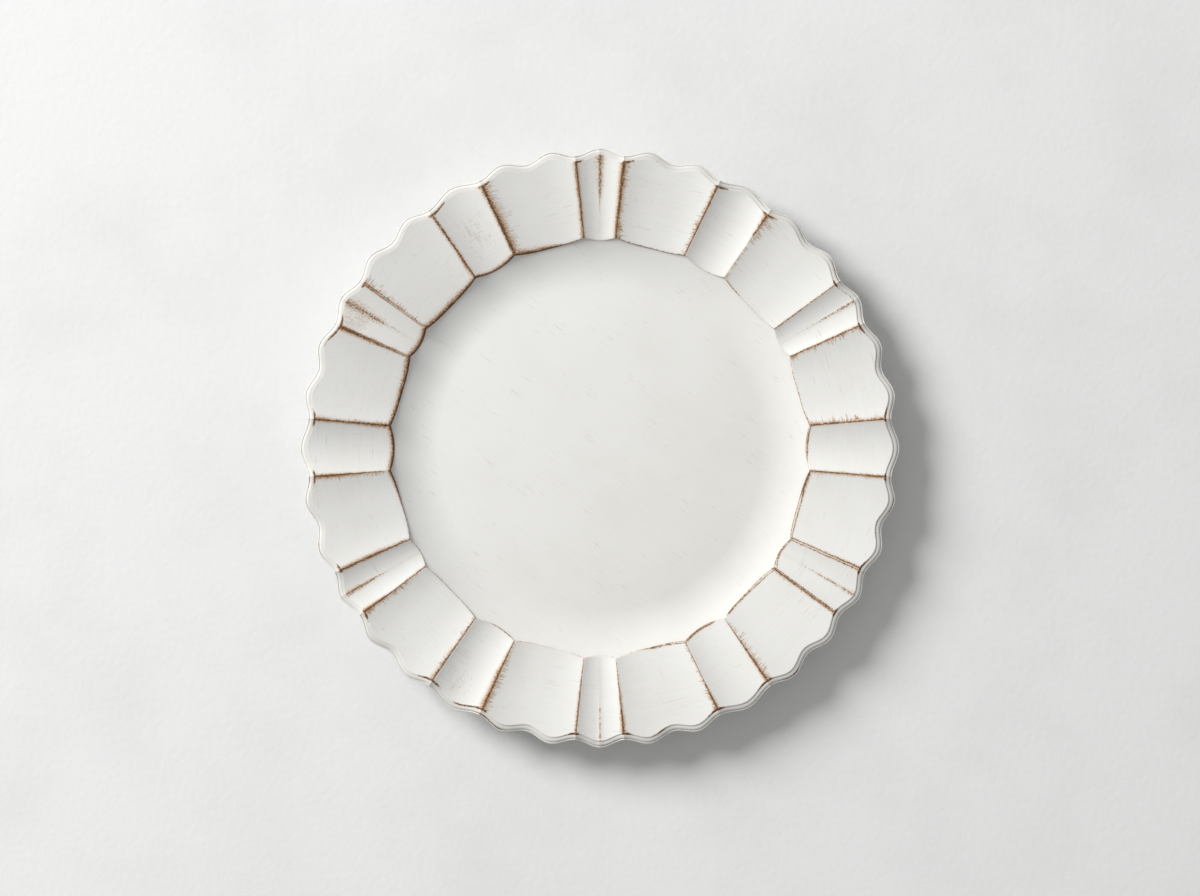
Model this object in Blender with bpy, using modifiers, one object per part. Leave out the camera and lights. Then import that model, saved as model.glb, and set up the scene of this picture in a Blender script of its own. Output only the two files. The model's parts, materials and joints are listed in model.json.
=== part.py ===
"""Scalloped charger plate of painted wood, 330 mm across.

A turned dish makes the well and carries a conical seat around it. Twenty-four hollowed
staves are glued on that seat as the rim: six narrow flutes with a crease, six plain
flutes, and a wide panel between each two of them. Their inner ends stand a little above
the edge of the cove. A thin backing ring, lapped onto the edge of the dish, closes the
underside of the staves and shows as a lip below their bead. Felt pads carry the whole.

Lengths are metres and +Z is up. The origin is on the axis, in the plane that the pads
rest on. Angles run clockwise from +Y, as hours do on a clock seen from above.
"""

import math

import bmesh
import bpy

OBJECT_NAME = "scalloped_charger_plate"

# Plan of the rim, from the outside in
OUTER_DIAMETER = 0.3300  # over the tips of the scallops
SCALLOP_DEPTH = 0.0038  # from a scallop's tip to the notch beside it
LIP_REACH = 0.0008  # backing ring beyond the bead of the staves
BEAD_REACH = 0.0032  # bead beyond the hollowed top of a stave
RIM_WIDTH = 0.0408  # ridge between two staves, from the bead's notch to the well
COVE_WIDTH = 0.0274  # cove, from the inner end of a ridge to the flat floor
FLUTE_PAIRS = 6  # one ribbed and one plain flute in each

# Heights
FLOOR_THICKNESS = 0.0074
WELL_DEPTH = 0.0094  # from the floor up to the inner end of a ridge
STEP_HEIGHT = 0.0016  # from the edge of the cove up to the inner end of a ridge
RIM_RISE = 0.0065  # from the inner end of a ridge up to its outer end
STAVE_THICKNESS = 0.0062  # below a ridge
BACKING_THICKNESS = 0.0026

# Staves: widths between joints, bow of the inner end into the well, hollows below the ridges
RIBBED_INNER_WIDTH = 0.0175
RIBBED_OUTER_WIDTH = 0.0262
RIBBED_BOW = 0.0019
RIBBED_INNER_HOLLOW = 0.0020
RIBBED_OUTER_HOLLOW = 0.0028
PLAIN_INNER_WIDTH = 0.0249
PLAIN_OUTER_WIDTH = 0.0314
PLAIN_BOW = 0.0027
PLAIN_INNER_HOLLOW = 0.0023
PLAIN_OUTER_HOLLOW = 0.0034
PANEL_BOW = 0.0027
PANEL_INNER_HOLLOW = 0.0020
PANEL_OUTER_HOLLOW = 0.0024

# Crease along the middle of a ribbed flute, which fades out towards the well
CREASE_WIDTH = 0.0044
CREASE_HEIGHT = 0.0004
CREASE_LENGTH = 0.0280

# Edge of a stave: a small step down from the hollowed top, then the bead
QUIRK_REACH = 0.0010
QUIRK_DROP = 0.0004

# Seat of the staves on the dish, and the lap that carries the backing ring
SEAT_WIDTH = 0.0066  # from the inner end of a ridge to the shoulder of the lap
LAP_WIDTH = 0.0050
LIP_ROUNDING = 0.0005

# Foot and pads
FOOT_MARGIN = 0.0030  # foot's edge outside the edge of the floor
PAD_COUNT = 4
PAD_DIAMETER = 0.0200
PAD_HEIGHT = 0.0015
PAD_INSET = 0.0220  # from the foot's edge to the middle of a pad
PAD_ROUNDING = 0.0003

CLEARANCE = 0.0003  # glue line between pieces that touch

# Shape of the curves
COVE_POWER = 2.1
FLUTE_POWER = 2.0
PANEL_POWER = 2.6
COVE_STEPS = 5
BEAD_STEPS = 4
SCALLOP_STEPS = 6
PAD_SIDES = 32
SHARP_ANGLE = math.radians(25)  # edges that turn more than this are shaded sharp

# Sizes that follow from those above
SECTOR = math.pi / FLUTE_PAIRS
OUTER_RADIUS = OUTER_DIAMETER / 2
NOTCH_RADIUS = OUTER_RADIUS - SCALLOP_DEPTH - LIP_REACH - BEAD_REACH
WELL_RADIUS = NOTCH_RADIUS - RIM_WIDTH
FLOOR_RADIUS = WELL_RADIUS - COVE_WIDTH
FOOT_RADIUS = FLOOR_RADIUS + FOOT_MARGIN
LAP_RADIUS = WELL_RADIUS + SEAT_WIDTH
SHELF_RADIUS = LAP_RADIUS + LAP_WIDTH
LAP_STEP = BACKING_THICKNESS / 2
BASE_HEIGHT = PAD_HEIGHT + CLEARANCE
FLOOR_HEIGHT = BASE_HEIGHT + FLOOR_THICKNESS
WELL_HEIGHT = FLOOR_HEIGHT + WELL_DEPTH
CREASE_SHARE = CREASE_WIDTH / RIBBED_OUTER_WIDTH

# Staves in their order round the rim, as (kind, bow, hollow at the well and at the edge, power)
STAVES = (
    ("ribbed_flute", RIBBED_BOW, RIBBED_INNER_HOLLOW, RIBBED_OUTER_HOLLOW, FLUTE_POWER),
    ("panel_after_ribbed", PANEL_BOW, PANEL_INNER_HOLLOW, PANEL_OUTER_HOLLOW, PANEL_POWER),
    ("plain_flute", PLAIN_BOW, PLAIN_INNER_HOLLOW, PLAIN_OUTER_HOLLOW, FLUTE_POWER),
    ("panel_after_plain", PANEL_BOW, PANEL_INNER_HOLLOW, PANEL_OUTER_HOLLOW, PANEL_POWER),
)
KINDS = [stave[0] for stave in STAVES]
SHAPES = {stave[0]: stave[1:] for stave in STAVES}


def along_rim(r):
    """0 at the inner end of a ridge and 1 at its outer end."""
    return (r - WELL_RADIUS) / RIM_WIDTH


def ridge_height(r):
    return WELL_HEIGHT + RIM_RISE * along_rim(r)


def seat_height(r):
    """Conical seat that the dish and the backing ring make for the staves."""
    return ridge_height(r) - STAVE_THICKNESS - CLEARANCE


def cove_height(r):
    share = (r - FLOOR_RADIUS) / COVE_WIDTH
    return FLOOR_HEIGHT + (WELL_DEPTH - STEP_HEIGHT) * share**COVE_POWER


def half_angle(inner_width, outer_width, r):
    width = inner_width + (outer_width - inner_width) * along_rim(r)
    return math.asin(width / 2 / r)


def joint_angles(kind, r):
    """Angles of a stave's two joints at radius r, from the flute that it belongs to."""
    ribbed = half_angle(RIBBED_INNER_WIDTH, RIBBED_OUTER_WIDTH, r)
    plain = half_angle(PLAIN_INNER_WIDTH, PLAIN_OUTER_WIDTH, r)
    spans = {
        "ribbed_flute": (-ribbed, ribbed),
        "panel_after_ribbed": (ribbed, SECTOR - plain),
        "plain_flute": (-plain, plain),
        "panel_after_plain": (plain, SECTOR - ribbed),
    }
    return spans[kind]


def steps_across(kind):
    """Places across a stave, from -1 at one joint to 1 at the other."""
    scallops = 2 if kind.startswith("panel") else 1
    count = SCALLOP_STEPS * scallops
    steps = {2 * i / count - 1 for i in range(count + 1)}
    if kind == "ribbed_flute":
        steps |= {-CREASE_SHARE, CREASE_SHARE}
    return sorted(steps)


def top_height(kind, u, r):
    """Hollowed top of a stave."""
    _, inner, outer, power = SHAPES[kind]
    hollow = inner + (outer - inner) * along_rim(r)
    height = ridge_height(r) - hollow * (1 - abs(u) ** power)
    if kind == "ribbed_flute":
        fade = max(0.0, 1 - (NOTCH_RADIUS - r) / CREASE_LENGTH)
        height += CREASE_HEIGHT * fade * max(0.0, 1 - abs(u) / CREASE_SHARE)
    return height


def well_edge(kind, u):
    """Radius of the edge of the well, which is bowed inwards between two ridges."""
    bow, _, _, power = SHAPES[kind]
    return WELL_RADIUS - bow * (1 - abs(u) ** power)


def lip_radius(kind, u):
    """Scalloped outline: one scallop on a flute and two on a panel, with notches at the joints."""
    if kind.startswith("panel"):
        scallop = math.sin(math.pi * u) ** 2
    else:
        scallop = math.cos(math.pi * u / 2) ** 2
    return OUTER_RADIUS - SCALLOP_DEPTH * (1 - scallop)


def stave_section(kind, u):
    """Section along a stave: inner end, hollowed top, bead and underside, as radius and height."""
    bead_tip = lip_radius(kind, u) - LIP_REACH
    arris = bead_tip - BEAD_REACH
    inner_end = well_edge(kind, u) + CLEARANCE
    section = [(inner_end, seat_height(inner_end) + CLEARANCE)]
    for r in (inner_end, NOTCH_RADIUS - CREASE_LENGTH, arris):
        section.append((r, top_height(kind, u, r)))
    bead_foot = arris + QUIRK_REACH
    high = top_height(kind, u, arris) - QUIRK_DROP
    low = seat_height(bead_foot) + CLEARANCE
    for i in range(BEAD_STEPS + 1):
        turn = math.pi / 2 - math.pi * i / BEAD_STEPS
        r = bead_foot + (bead_tip - bead_foot) * math.cos(turn)
        section.append((r, (high + low) / 2 + (high - low) / 2 * math.sin(turn)))
    return section


def dish_section(kind, u):
    """Section of the dish from the edge of its floor, over the cove and the seat, to its foot."""
    edge = well_edge(kind, u)
    section = []
    for i in range(COVE_STEPS + 1):
        r = FLOOR_RADIUS + (edge - FLOOR_RADIUS) * i / COVE_STEPS
        section.append((r, cove_height(r)))
    section += [
        (edge, seat_height(edge)),
        (LAP_RADIUS, seat_height(LAP_RADIUS)),
        (LAP_RADIUS, seat_height(LAP_RADIUS) - LAP_STEP),
        (SHELF_RADIUS, seat_height(SHELF_RADIUS) - LAP_STEP),
        (SHELF_RADIUS, seat_height(SHELF_RADIUS) - BACKING_THICKNESS),
        (FOOT_RADIUS, BASE_HEIGHT),
    ]
    return section


def ring_section(kind, u):
    """Section of the backing ring, from its lap on the dish to its lip."""
    lip = lip_radius(kind, u)
    shoulder = LAP_RADIUS + CLEARANCE
    shelf = SHELF_RADIUS + CLEARANCE
    corner = lip - LIP_ROUNDING
    return [
        (shoulder, seat_height(shoulder)),
        (shoulder, seat_height(shoulder) - LAP_STEP + CLEARANCE),
        (shelf, seat_height(shelf) - LAP_STEP + CLEARANCE),
        (shelf, seat_height(shelf) - BACKING_THICKNESS),
        (corner, seat_height(corner) - BACKING_THICKNESS),
        (lip, seat_height(lip) - BACKING_THICKNESS + LIP_ROUNDING),
        (lip, seat_height(lip) - LIP_ROUNDING),
        (corner, seat_height(corner)),
    ]


def on_clock(r, angle, z):
    return (r * math.sin(angle), r * math.cos(angle), z)


def stave_point(kind, u, r, z):
    """Point of a stave, drawn in by half a glue line at each joint."""
    first, last = joint_angles(kind, r)
    glue = CLEARANCE / 2 / r
    angle = first + glue + (last - first - 2 * glue) * (u + 1) / 2
    return on_clock(r, angle, z)


def sections_round(section_of, radius_of):
    """Sections all the way round the plate, each in a plane through the axis."""
    stations = []
    for hour in range(2 * FLUTE_PAIRS):
        for kind in KINDS[:2] if hour % 2 == 0 else KINDS[2:]:
            for u in steps_across(kind)[:-1]:
                first, last = joint_angles(kind, radius_of(kind, u))
                angle = hour * SECTOR + first + (last - first) * (u + 1) / 2
                stations.append([on_clock(r, angle, z) for r, z in section_of(kind, u)])
    return stations


def loft(name, stations, round_axis, tube):
    """Skin over matching sections. A tube has closed sections, and otherwise the ends are filled."""
    bm = bmesh.new()
    rows = [[bm.verts.new(point) for point in station] for station in stations]
    followers = rows[1:] + rows[:1] if round_axis else rows[1:]
    count = len(rows[0])
    for row, follower in zip(rows, followers):
        for i in range(count if tube else count - 1):
            j = (i + 1) % count
            bm.faces.new((row[i], row[j], follower[j], follower[i]))
    if not round_axis:
        bm.faces.new(rows[0])
        bm.faces.new(rows[-1])
    if not tube:
        bm.faces.new([row[0] for row in rows])
        bm.faces.new([row[-1] for row in rows])
    bmesh.ops.recalc_face_normals(bm, faces=bm.faces)
    mesh = bpy.data.meshes.new(name)
    bm.to_mesh(mesh)
    bm.free()
    mesh.shade_smooth()
    mesh.set_sharp_from_angle(angle=SHARP_ANGLE)
    return mesh


def pad_mesh():
    bm = bmesh.new()
    bmesh.ops.create_cone(
        bm,
        cap_ends=True,
        segments=PAD_SIDES,
        radius1=PAD_DIAMETER / 2,
        radius2=PAD_DIAMETER / 2,
        depth=PAD_HEIGHT,
    )
    mesh = bpy.data.meshes.new("felt_pad")
    bm.to_mesh(mesh)
    bm.free()
    mesh.shade_smooth()
    mesh.set_sharp_from_angle(angle=SHARP_ANGLE)
    return mesh


def material(name, colour, roughness):
    mat = bpy.data.materials.new(name)
    mat.use_nodes = True
    shader = mat.node_tree.nodes["Principled BSDF"]
    shader.inputs["Base Color"].default_value = (*colour, 1.0)
    shader.inputs["Roughness"].default_value = roughness
    shader.inputs["Metallic"].default_value = 0.0
    mat.diffuse_color = (*colour, 1.0)
    return mat


def add_part(collection, name, mesh, mat):
    part = bpy.data.objects.new(name, mesh)
    if not mesh.materials:
        mesh.materials.append(mat)
    collection.objects.link(part)
    return part


def add_staves(collection, paint):
    """Each kind of stave is one mesh, turned to its places round the rim."""
    numbers = {"ribbed_flute": 0, "plain_flute": 0, "rim_panel": 0}
    meshes = {}
    for kind in KINDS:
        stations = []
        for u in steps_across(kind):
            stations.append([stave_point(kind, u, r, z) for r, z in stave_section(kind, u)])
        meshes[kind] = loft(kind, stations, round_axis=False, tube=True)
    for hour in range(2 * FLUTE_PAIRS):
        for kind in KINDS[:2] if hour % 2 == 0 else KINDS[2:]:
            family = "rim_panel" if kind.startswith("panel") else kind
            numbers[family] += 1
            stave = add_part(collection, f"{family}_{numbers[family]:02d}", meshes[kind], paint)
            stave.rotation_euler.z = -hour * SECTOR


def add_pads(collection, felt):
    mesh = pad_mesh()
    for i in range(PAD_COUNT):
        angle = (i + 0.5) * 2 * math.pi / PAD_COUNT
        pad = add_part(collection, f"felt_pad_{i + 1}", mesh, felt)
        pad.location = on_clock(FOOT_RADIUS - PAD_INSET, angle, PAD_HEIGHT / 2)
        rounding = pad.modifiers.new("rounded rim", "BEVEL")
        rounding.width = PAD_ROUNDING
        rounding.segments = 1


def build():
    for old in list(bpy.data.objects):
        bpy.data.objects.remove(old, do_unlink=True)
    collection = bpy.data.collections.new(OBJECT_NAME)
    bpy.context.scene.collection.children.link(collection)

    well_paint = material("well_paint", (0.83, 0.82, 0.785), 0.55)
    rim_paint = material("rim_paint", (0.82, 0.81, 0.77), 0.55)
    lip_paint = material("lip_paint", (0.77, 0.755, 0.715), 0.6)
    felt = material("felt", (0.22, 0.17, 0.13), 0.95)

    dish = loft("well_dish", sections_round(dish_section, well_edge), round_axis=True, tube=False)
    add_part(collection, "well_dish", dish, well_paint)
    ring = loft("backing_ring", sections_round(ring_section, lip_radius), round_axis=True, tube=True)
    add_part(collection, "backing_ring", ring, lip_paint)
    add_staves(collection, rim_paint)
    add_pads(collection, felt)
    print(f"{OBJECT_NAME}: {len(collection.objects)} parts")


build()
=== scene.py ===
# %% [markdown]
# # A worn, white-painted charger plate
#
# The plate is a turned wooden dish with a rim of twenty-four hollowed staves, painted off-white
# and rubbed through to the brown wood along its ridges. The measured solids come in as a fixed
# frame, and this lesson dresses each of them: a finer shape for every piece, and paint that is
# streaked, speckled and worn where hands and cloths would wear it. Some shade and a fall of light
# are painted into it too.

# %% Load the measured plate
import json
import math
from collections import namedtuple
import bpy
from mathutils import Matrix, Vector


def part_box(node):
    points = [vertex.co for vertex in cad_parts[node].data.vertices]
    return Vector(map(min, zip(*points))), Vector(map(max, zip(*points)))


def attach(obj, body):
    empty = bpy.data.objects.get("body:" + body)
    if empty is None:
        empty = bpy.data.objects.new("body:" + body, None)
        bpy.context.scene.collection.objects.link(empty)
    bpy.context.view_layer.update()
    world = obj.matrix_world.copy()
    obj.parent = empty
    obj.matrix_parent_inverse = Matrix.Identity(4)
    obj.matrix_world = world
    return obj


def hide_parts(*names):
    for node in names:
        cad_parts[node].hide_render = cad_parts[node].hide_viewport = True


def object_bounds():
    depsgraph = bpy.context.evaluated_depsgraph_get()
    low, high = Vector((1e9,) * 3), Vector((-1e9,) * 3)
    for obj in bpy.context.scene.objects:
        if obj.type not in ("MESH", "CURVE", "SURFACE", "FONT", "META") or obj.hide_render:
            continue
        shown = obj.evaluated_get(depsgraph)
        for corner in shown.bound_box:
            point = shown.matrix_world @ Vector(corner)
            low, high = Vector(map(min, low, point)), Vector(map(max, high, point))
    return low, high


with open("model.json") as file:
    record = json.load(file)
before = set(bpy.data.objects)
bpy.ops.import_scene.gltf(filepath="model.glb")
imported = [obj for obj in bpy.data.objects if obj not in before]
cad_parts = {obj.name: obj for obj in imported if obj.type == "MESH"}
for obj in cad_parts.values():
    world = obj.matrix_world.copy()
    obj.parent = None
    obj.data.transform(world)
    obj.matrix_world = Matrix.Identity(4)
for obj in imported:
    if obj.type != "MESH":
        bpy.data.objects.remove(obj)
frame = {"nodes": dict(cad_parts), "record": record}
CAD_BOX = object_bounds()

from types import SimpleNamespace

import bpy
import numpy as np

MM = 0.001
BODY = "root"
print("measured box:", [[round(v / MM, 1) for v in corner] for corner in CAD_BOX], "mm")

# %% [markdown]
# ## Sizes
#
# The pieces below keep the shapes of the measured solids, so they need the same sizes. What the
# frame can tell is read from it: the outer radius, the height of the floor and the pads. The rest
# is written down here once, in metres. The hollows differ from stave to stave, so each kind of
# stave has a small set of its own.

# %% Sizes of the plate
FLOOR_MOUNT = next(m for m in frame["record"]["mounts"] if m["name"] == "well_floor")

PLATE = dict(
    outer_radius=(CAD_BOX[1][0] - CAD_BOX[0][0]) / 2,
    scallop_depth=3.8 * MM,
    lip_reach=0.8 * MM,
    bead_reach=3.2 * MM,
    rim_width=40.8 * MM,
    rim_rise=6.5 * MM,
    stave_thickness=6.2 * MM,
    cove_width=27.4 * MM,
    cove_power=2.1,
    well_depth=9.4 * MM,
    step_height=1.6 * MM,
    floor_height=FLOOR_MOUNT["pos_m"][2],
    crease_share=0.168,
    crease_length=28.0 * MM,
)
NOTCH_RADIUS = PLATE["outer_radius"] - PLATE["scallop_depth"] - PLATE["lip_reach"] - PLATE["bead_reach"]
PLATE["notch_radius"] = NOTCH_RADIUS
PLATE["well_radius"] = NOTCH_RADIUS - PLATE["rim_width"]
PLATE["floor_radius"] = PLATE["well_radius"] - PLATE["cove_width"]
PLATE["well_height"] = PLATE["floor_height"] + PLATE["well_depth"]

# Bow into the well, hollow at the well and at the edge, its power, the crease, and the scallops
FLUTE_SHAPES = dict(
    ribbed_flute=dict(
        bow=1.9 * MM,
        inner_hollow=2.0 * MM,
        outer_hollow=2.8 * MM,
        hollow_power=2.0,
        crease_height=0.2 * MM,
        scallops=1,
    ),
    plain_flute=dict(
        bow=2.7 * MM,
        inner_hollow=2.3 * MM,
        outer_hollow=3.4 * MM,
        hollow_power=2.0,
        crease_height=0.0,
        scallops=1,
    ),
    rim_panel=dict(
        bow=2.7 * MM,
        inner_hollow=2.0 * MM,
        outer_hollow=2.4 * MM,
        hollow_power=2.6,
        crease_height=0.0,
        scallops=2,
    ),
)
# Width between the joints of a flute, at the well and at the edge
FLUTE_WIDTHS = dict(ribbed_flute=(17.5 * MM, 26.2 * MM), plain_flute=(24.9 * MM, 31.4 * MM))

HOURS = 12
HOUR = 2 * math.pi / HOURS
print("rim from", round(PLATE["well_radius"] / MM, 1), "to", round(PLATE["outer_radius"] / MM, 1), "mm")

# %% [markdown]
# ## Formulas that nodes can read
#
# Every surface of the rim follows a rule: a sloping ridge line, less a hollow that is deepest in
# the middle of a stave. Python can work such a rule out with numbers, and Geometry Nodes can work
# it out with Math nodes, but writing it twice invites mistakes. So a small class stands for a
# value inside a node tree, and arithmetic on it adds the Math nodes. One formula then serves the
# node trees, the shader trees and plain numpy arrays alike.

# %% A value inside a node tree


class Field:
    """A value that nodes work out point by point; arithmetic on it adds Math nodes."""

    def __init__(self, socket):
        self.socket = socket
        self.tree = socket.id_data

    def math(self, operation, *others):
        node = self.tree.nodes.new("ShaderNodeMath")
        node.operation = operation
        for value, socket in zip((self, *others), node.inputs):
            plug(value, socket)
        return Field(node.outputs[0])

    def __add__(self, other):
        return self.math("ADD", other)

    def __sub__(self, other):
        return self.math("SUBTRACT", other)

    def __rsub__(self, other):
        return self.math("MULTIPLY_ADD", -1.0, other)

    def __mul__(self, other):
        return self.math("MULTIPLY", other)

    def __truediv__(self, other):
        return self.math("DIVIDE", other)

    def __pow__(self, other):
        return self.math("POWER", other)

    def __abs__(self):
        return self.math("ABSOLUTE")

    __radd__ = __add__
    __rmul__ = __mul__


def plug(value, socket):
    """Links a field to a socket, or sets the socket to a plain value."""
    if isinstance(value, Field):
        socket.id_data.links.new(value.socket, socket)
    else:
        socket.default_value = value


def node_or_number(operation, plain):
    """A function that adds a Math node for a field, and works on plain numbers otherwise."""

    def work(x, *others):
        return x.math(operation, *others) if isinstance(x, Field) else plain(x, *others)

    return work


sine = node_or_number("SINE", np.sin)
cosine = node_or_number("COSINE", np.cos)
arcsine = node_or_number("ARCSINE", np.arcsin)
at_least = node_or_number("MAXIMUM", np.maximum)
at_most = node_or_number("MINIMUM", np.minimum)


def rounded(share):
    """A slope from 0 to 1 that starts and ends level."""
    return share * share * (3 - share * 2)


print("formulas run on numbers, arrays and nodes")

# %% [markdown]
# ## The rule of the rim
#
# Here is the whole rim in ten short formulas. The argument `s` holds sizes, either as numbers or
# as the inputs of a node tree. `u` runs from -1 at one joint of a stave to 1 at the other, and
# `r` is the distance from the plate's axis. The cove of the dish ends a little below the tops of
# the staves, whose inner ends are bowed into the well and stand above it as a low step.

# %% Formulas of the rim


def along_rim(s, r):
    return (r - s.well_radius) / s.rim_width


def ridge_height(s, r):
    return along_rim(s, r) * s.rim_rise + s.well_height


def seat_height(s, r):
    return ridge_height(s, r) - s.stave_thickness


def cove_height(s, r):
    share = (r - s.floor_radius) / s.cove_width
    return share**s.cove_power * (s.well_depth - s.step_height) + s.floor_height


def crease_height(s, u, r):
    fade = at_least(1 - (s.notch_radius - r) / s.crease_length, 0.0)
    return fade * rounded(at_least(1 - abs(u) / s.crease_share, 0.0)) * s.crease_height


def top_height(s, u, r):
    hollow = along_rim(s, r) * (s.outer_hollow - s.inner_hollow) + s.inner_hollow
    return ridge_height(s, r) - hollow * (1 - abs(u) ** s.hollow_power) + crease_height(s, u, r)


def well_edge(s, u):
    return s.well_radius - (1 - abs(u) ** s.hollow_power) * s.bow


def lip_radius(s, u):
    scallop = sine((u + 1) * s.scallops * (math.pi / 2)) ** 2.0
    return s.outer_radius - (1 - scallop) * s.scallop_depth


def joint_angle(centre, side, inner_width, outer_width, s, r):
    """Angle of a joint at radius r, on one side of the middle line of the flute it belongs to."""
    width = along_rim(s, r) * (outer_width - inner_width) + inner_width
    return arcsine(width / (r * 2)) * side + centre


def span(s, r):
    first = joint_angle(s.first_centre, s.first_side, s.first_inner, s.first_outer, s, r)
    last = joint_angle(s.last_centre, s.last_side, s.last_inner, s.last_outer, s, r)
    return first, last


RIM = SimpleNamespace(**PLATE)
RIDGE_LOW, RIDGE_HIGH = (ridge_height(RIM, r) / MM for r in (RIM.well_radius, RIM.notch_radius))
print(f"ridges rise from {RIDGE_LOW:.1f} to {RIDGE_HIGH:.1f} mm")

# %% [markdown]
# ## The round of staves
#
# Clockwise from twelve o'clock, every hour has a flute, ribbed on even hours and plain on odd
# ones, and then a panel that reaches to the next flute. One list of plain records says which
# stave has which shape, and where its two joints run. Everything below walks along this list, so
# the dish, the ring and the staves agree about where each joint is.

# %% List the staves
FLUTES = tuple(FLUTE_WIDTHS)


def joint(prefix, flute, hour, side):
    inner, outer = FLUTE_WIDTHS[flute]
    return {
        prefix + "_centre": hour * HOUR,
        prefix + "_side": side,
        prefix + "_inner": inner,
        prefix + "_outer": outer,
    }


def list_staves():
    staves = []
    counts = dict.fromkeys(FLUTE_SHAPES, 0)
    for hour in range(HOURS):
        flute, following = FLUTES[hour % 2], FLUTES[(hour + 1) % 2]
        flute_joints = joint("first", flute, hour, -1.0) | joint("last", flute, hour, 1.0)
        panel_joints = joint("first", flute, hour, 1.0) | joint("last", following, hour + 1, -1.0)
        for kind, joints, middle in ((flute, flute_joints, hour), ("rim_panel", panel_joints, hour + 0.5)):
            counts[kind] += 1
            stave = SimpleNamespace(kind=kind, hour=hour, middle=middle * HOUR)
            stave.node = f"{kind}_{counts[kind]:02d}"
            stave.sizes = SimpleNamespace(**PLATE, **FLUTE_SHAPES[kind], **joints)
            staves.append(stave)
    return staves


STAVES = list_staves()
print(len(STAVES), "staves:", ", ".join(stave.node for stave in STAVES[:4]), "and so on")

# %% [markdown]
# ## Where the paint has gone
#
# Wear is what makes this plate itself, and no rule gives it: one ridge is rubbed broad and
# brown, the next is only a thin dotted line. It could be painted by hand in a texture, but a
# texture is tied to pixels. Instead each ridge has one row in a table, judged one by one. First comes
# the land, a strip of a panel beside the ridge that kept its paint, with a second worn line along
# its border. Then come how far the panel or flute is rubbed before the joint and after it, each at
# the well, half way and at the edge, how long the ticks of the brush are on either side, and how
# far the wear turns along the edge on either side. All are millimetres, and clockwise. The two
# rows of an hour are the joints before and after its flute.

# %% Tables of wear, in millimetres
# Land; rubbed at the well, half way and at the edge, before and after the joint; ticks; dashes
RIDGE_WEAR = (
    (0.0, (1.4, 1.2, 1.5), (0.7, 0.9, 0.9), (2.5, 0.5), (2.0, 6.0)),
    (0.0, (1.3, 1.6, 1.7), (1.0, 1.5, 1.8), (0.5, 7.0), (1.0, 9.0)),
    (0.0, (1.1, 1.1, 1.3), (0.1, 0.5, 0.6), (5.0, 1.0), (3.0, 9.0)),
    (0.0, (0.2, 0.2, 1.7), (0.2, 0.1, 1.3), (1.0, 12.0), (5.0, 8.0)),
    (0.0, (0.4, 0.4, 0.4), (0.6, 0.6, 0.6), (2.0, 0.5), (4.0, 3.0)),
    (0.0, (0.6, 0.7, 0.9), (0.8, 0.8, 0.7), (0.5, 5.0), (3.0, 8.0)),
    (0.0, (1.5, 1.0, 1.4), (0.8, 0.5, 0.7), (6.0, 0.5), (10.0, 2.0)),
    (0.0, (0.7, 0.7, 0.8), (1.0, 1.0, 1.2), (0.5, 3.0), (3.0, 5.0)),
    (1.2, (0.6, 0.6, 0.9), (0.5, 0.5, 0.7), (3.0, 0.5), (10.0, 4.0)),
    (0.9, (0.5, 0.5, 0.5), (0.8, 0.9, 0.8), (0.5, 4.0), (3.0, 5.0)),
    (0.0, (0.1, 1.0, 1.2), (0.3, 0.7, 1.2), (7.0, 0.5), (5.0, 10.0)),
    (0.0, (0.1, 0.2, 1.2), (0.4, 0.8, 1.3), (0.5, 5.0), (6.0, 9.0)),
    (0.0, (0.1, 0.8, 1.4), (0.2, 0.6, 1.4), (3.0, 0.5), (7.0, 2.0)),
    (0.0, (0.1, 0.4, 0.5), (0.3, 1.0, 1.0), (0.5, 2.0), (3.0, 8.0)),
    (0.0, (0.1, 0.8, 1.6), (0.7, 1.7, 1.8), (8.0, 1.0), (5.0, 8.0)),
    (0.0, (0.3, 0.3, 0.3), (0.8, 1.2, 1.7), (1.0, 4.0), (8.0, 12.0)),
    (0.0, (0.1, 0.9, 1.4), (1.0, 0.5, 1.4), (6.0, 1.0), (8.0, 2.0)),
    (0.0, (0.6, 0.8, 1.0), (0.8, 1.6, 1.2), (0.5, 3.0), (3.0, 6.0)),
    (0.0, (0.3, 1.0, 1.5), (0.3, 0.7, 1.2), (6.0, 0.5), (8.0, 6.0)),
    (0.0, (1.6, 1.0, 1.1), (1.2, 1.0, 1.6), (0.5, 4.0), (6.0, 8.0)),
    (0.7, (0.5, 1.0, 1.4), (0.5, 0.7, 1.0), (4.0, 3.0), (18.0, 10.0)),
    (0.9, (0.4, 0.5, 0.8), (0.4, 0.5, 0.8), (0.5, 9.0), (4.0, 5.0)),
    (0.0, (1.6, 1.0, 1.1), (0.7, 0.9, 0.7), (2.0, 0.5), (4.0, 16.0)),
    (0.0, (1.1, 1.0, 1.4), (2.0, 2.8, 1.8), (1.0, 12.0), (4.0, 8.0)),
)
# The crease of each ribbed flute: rubbed at the edge, how far in it reaches, how solid it is
CREASE_WEAR = (
    (1.6, 38.0, 0.7), (0.7, 38.0, 0.65), (0.9, 40.0, 0.6),
    (0.5, 34.0, 0.52), (1.1, 32.0, 0.7), (2.2, 40.0, 0.65),
)
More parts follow.
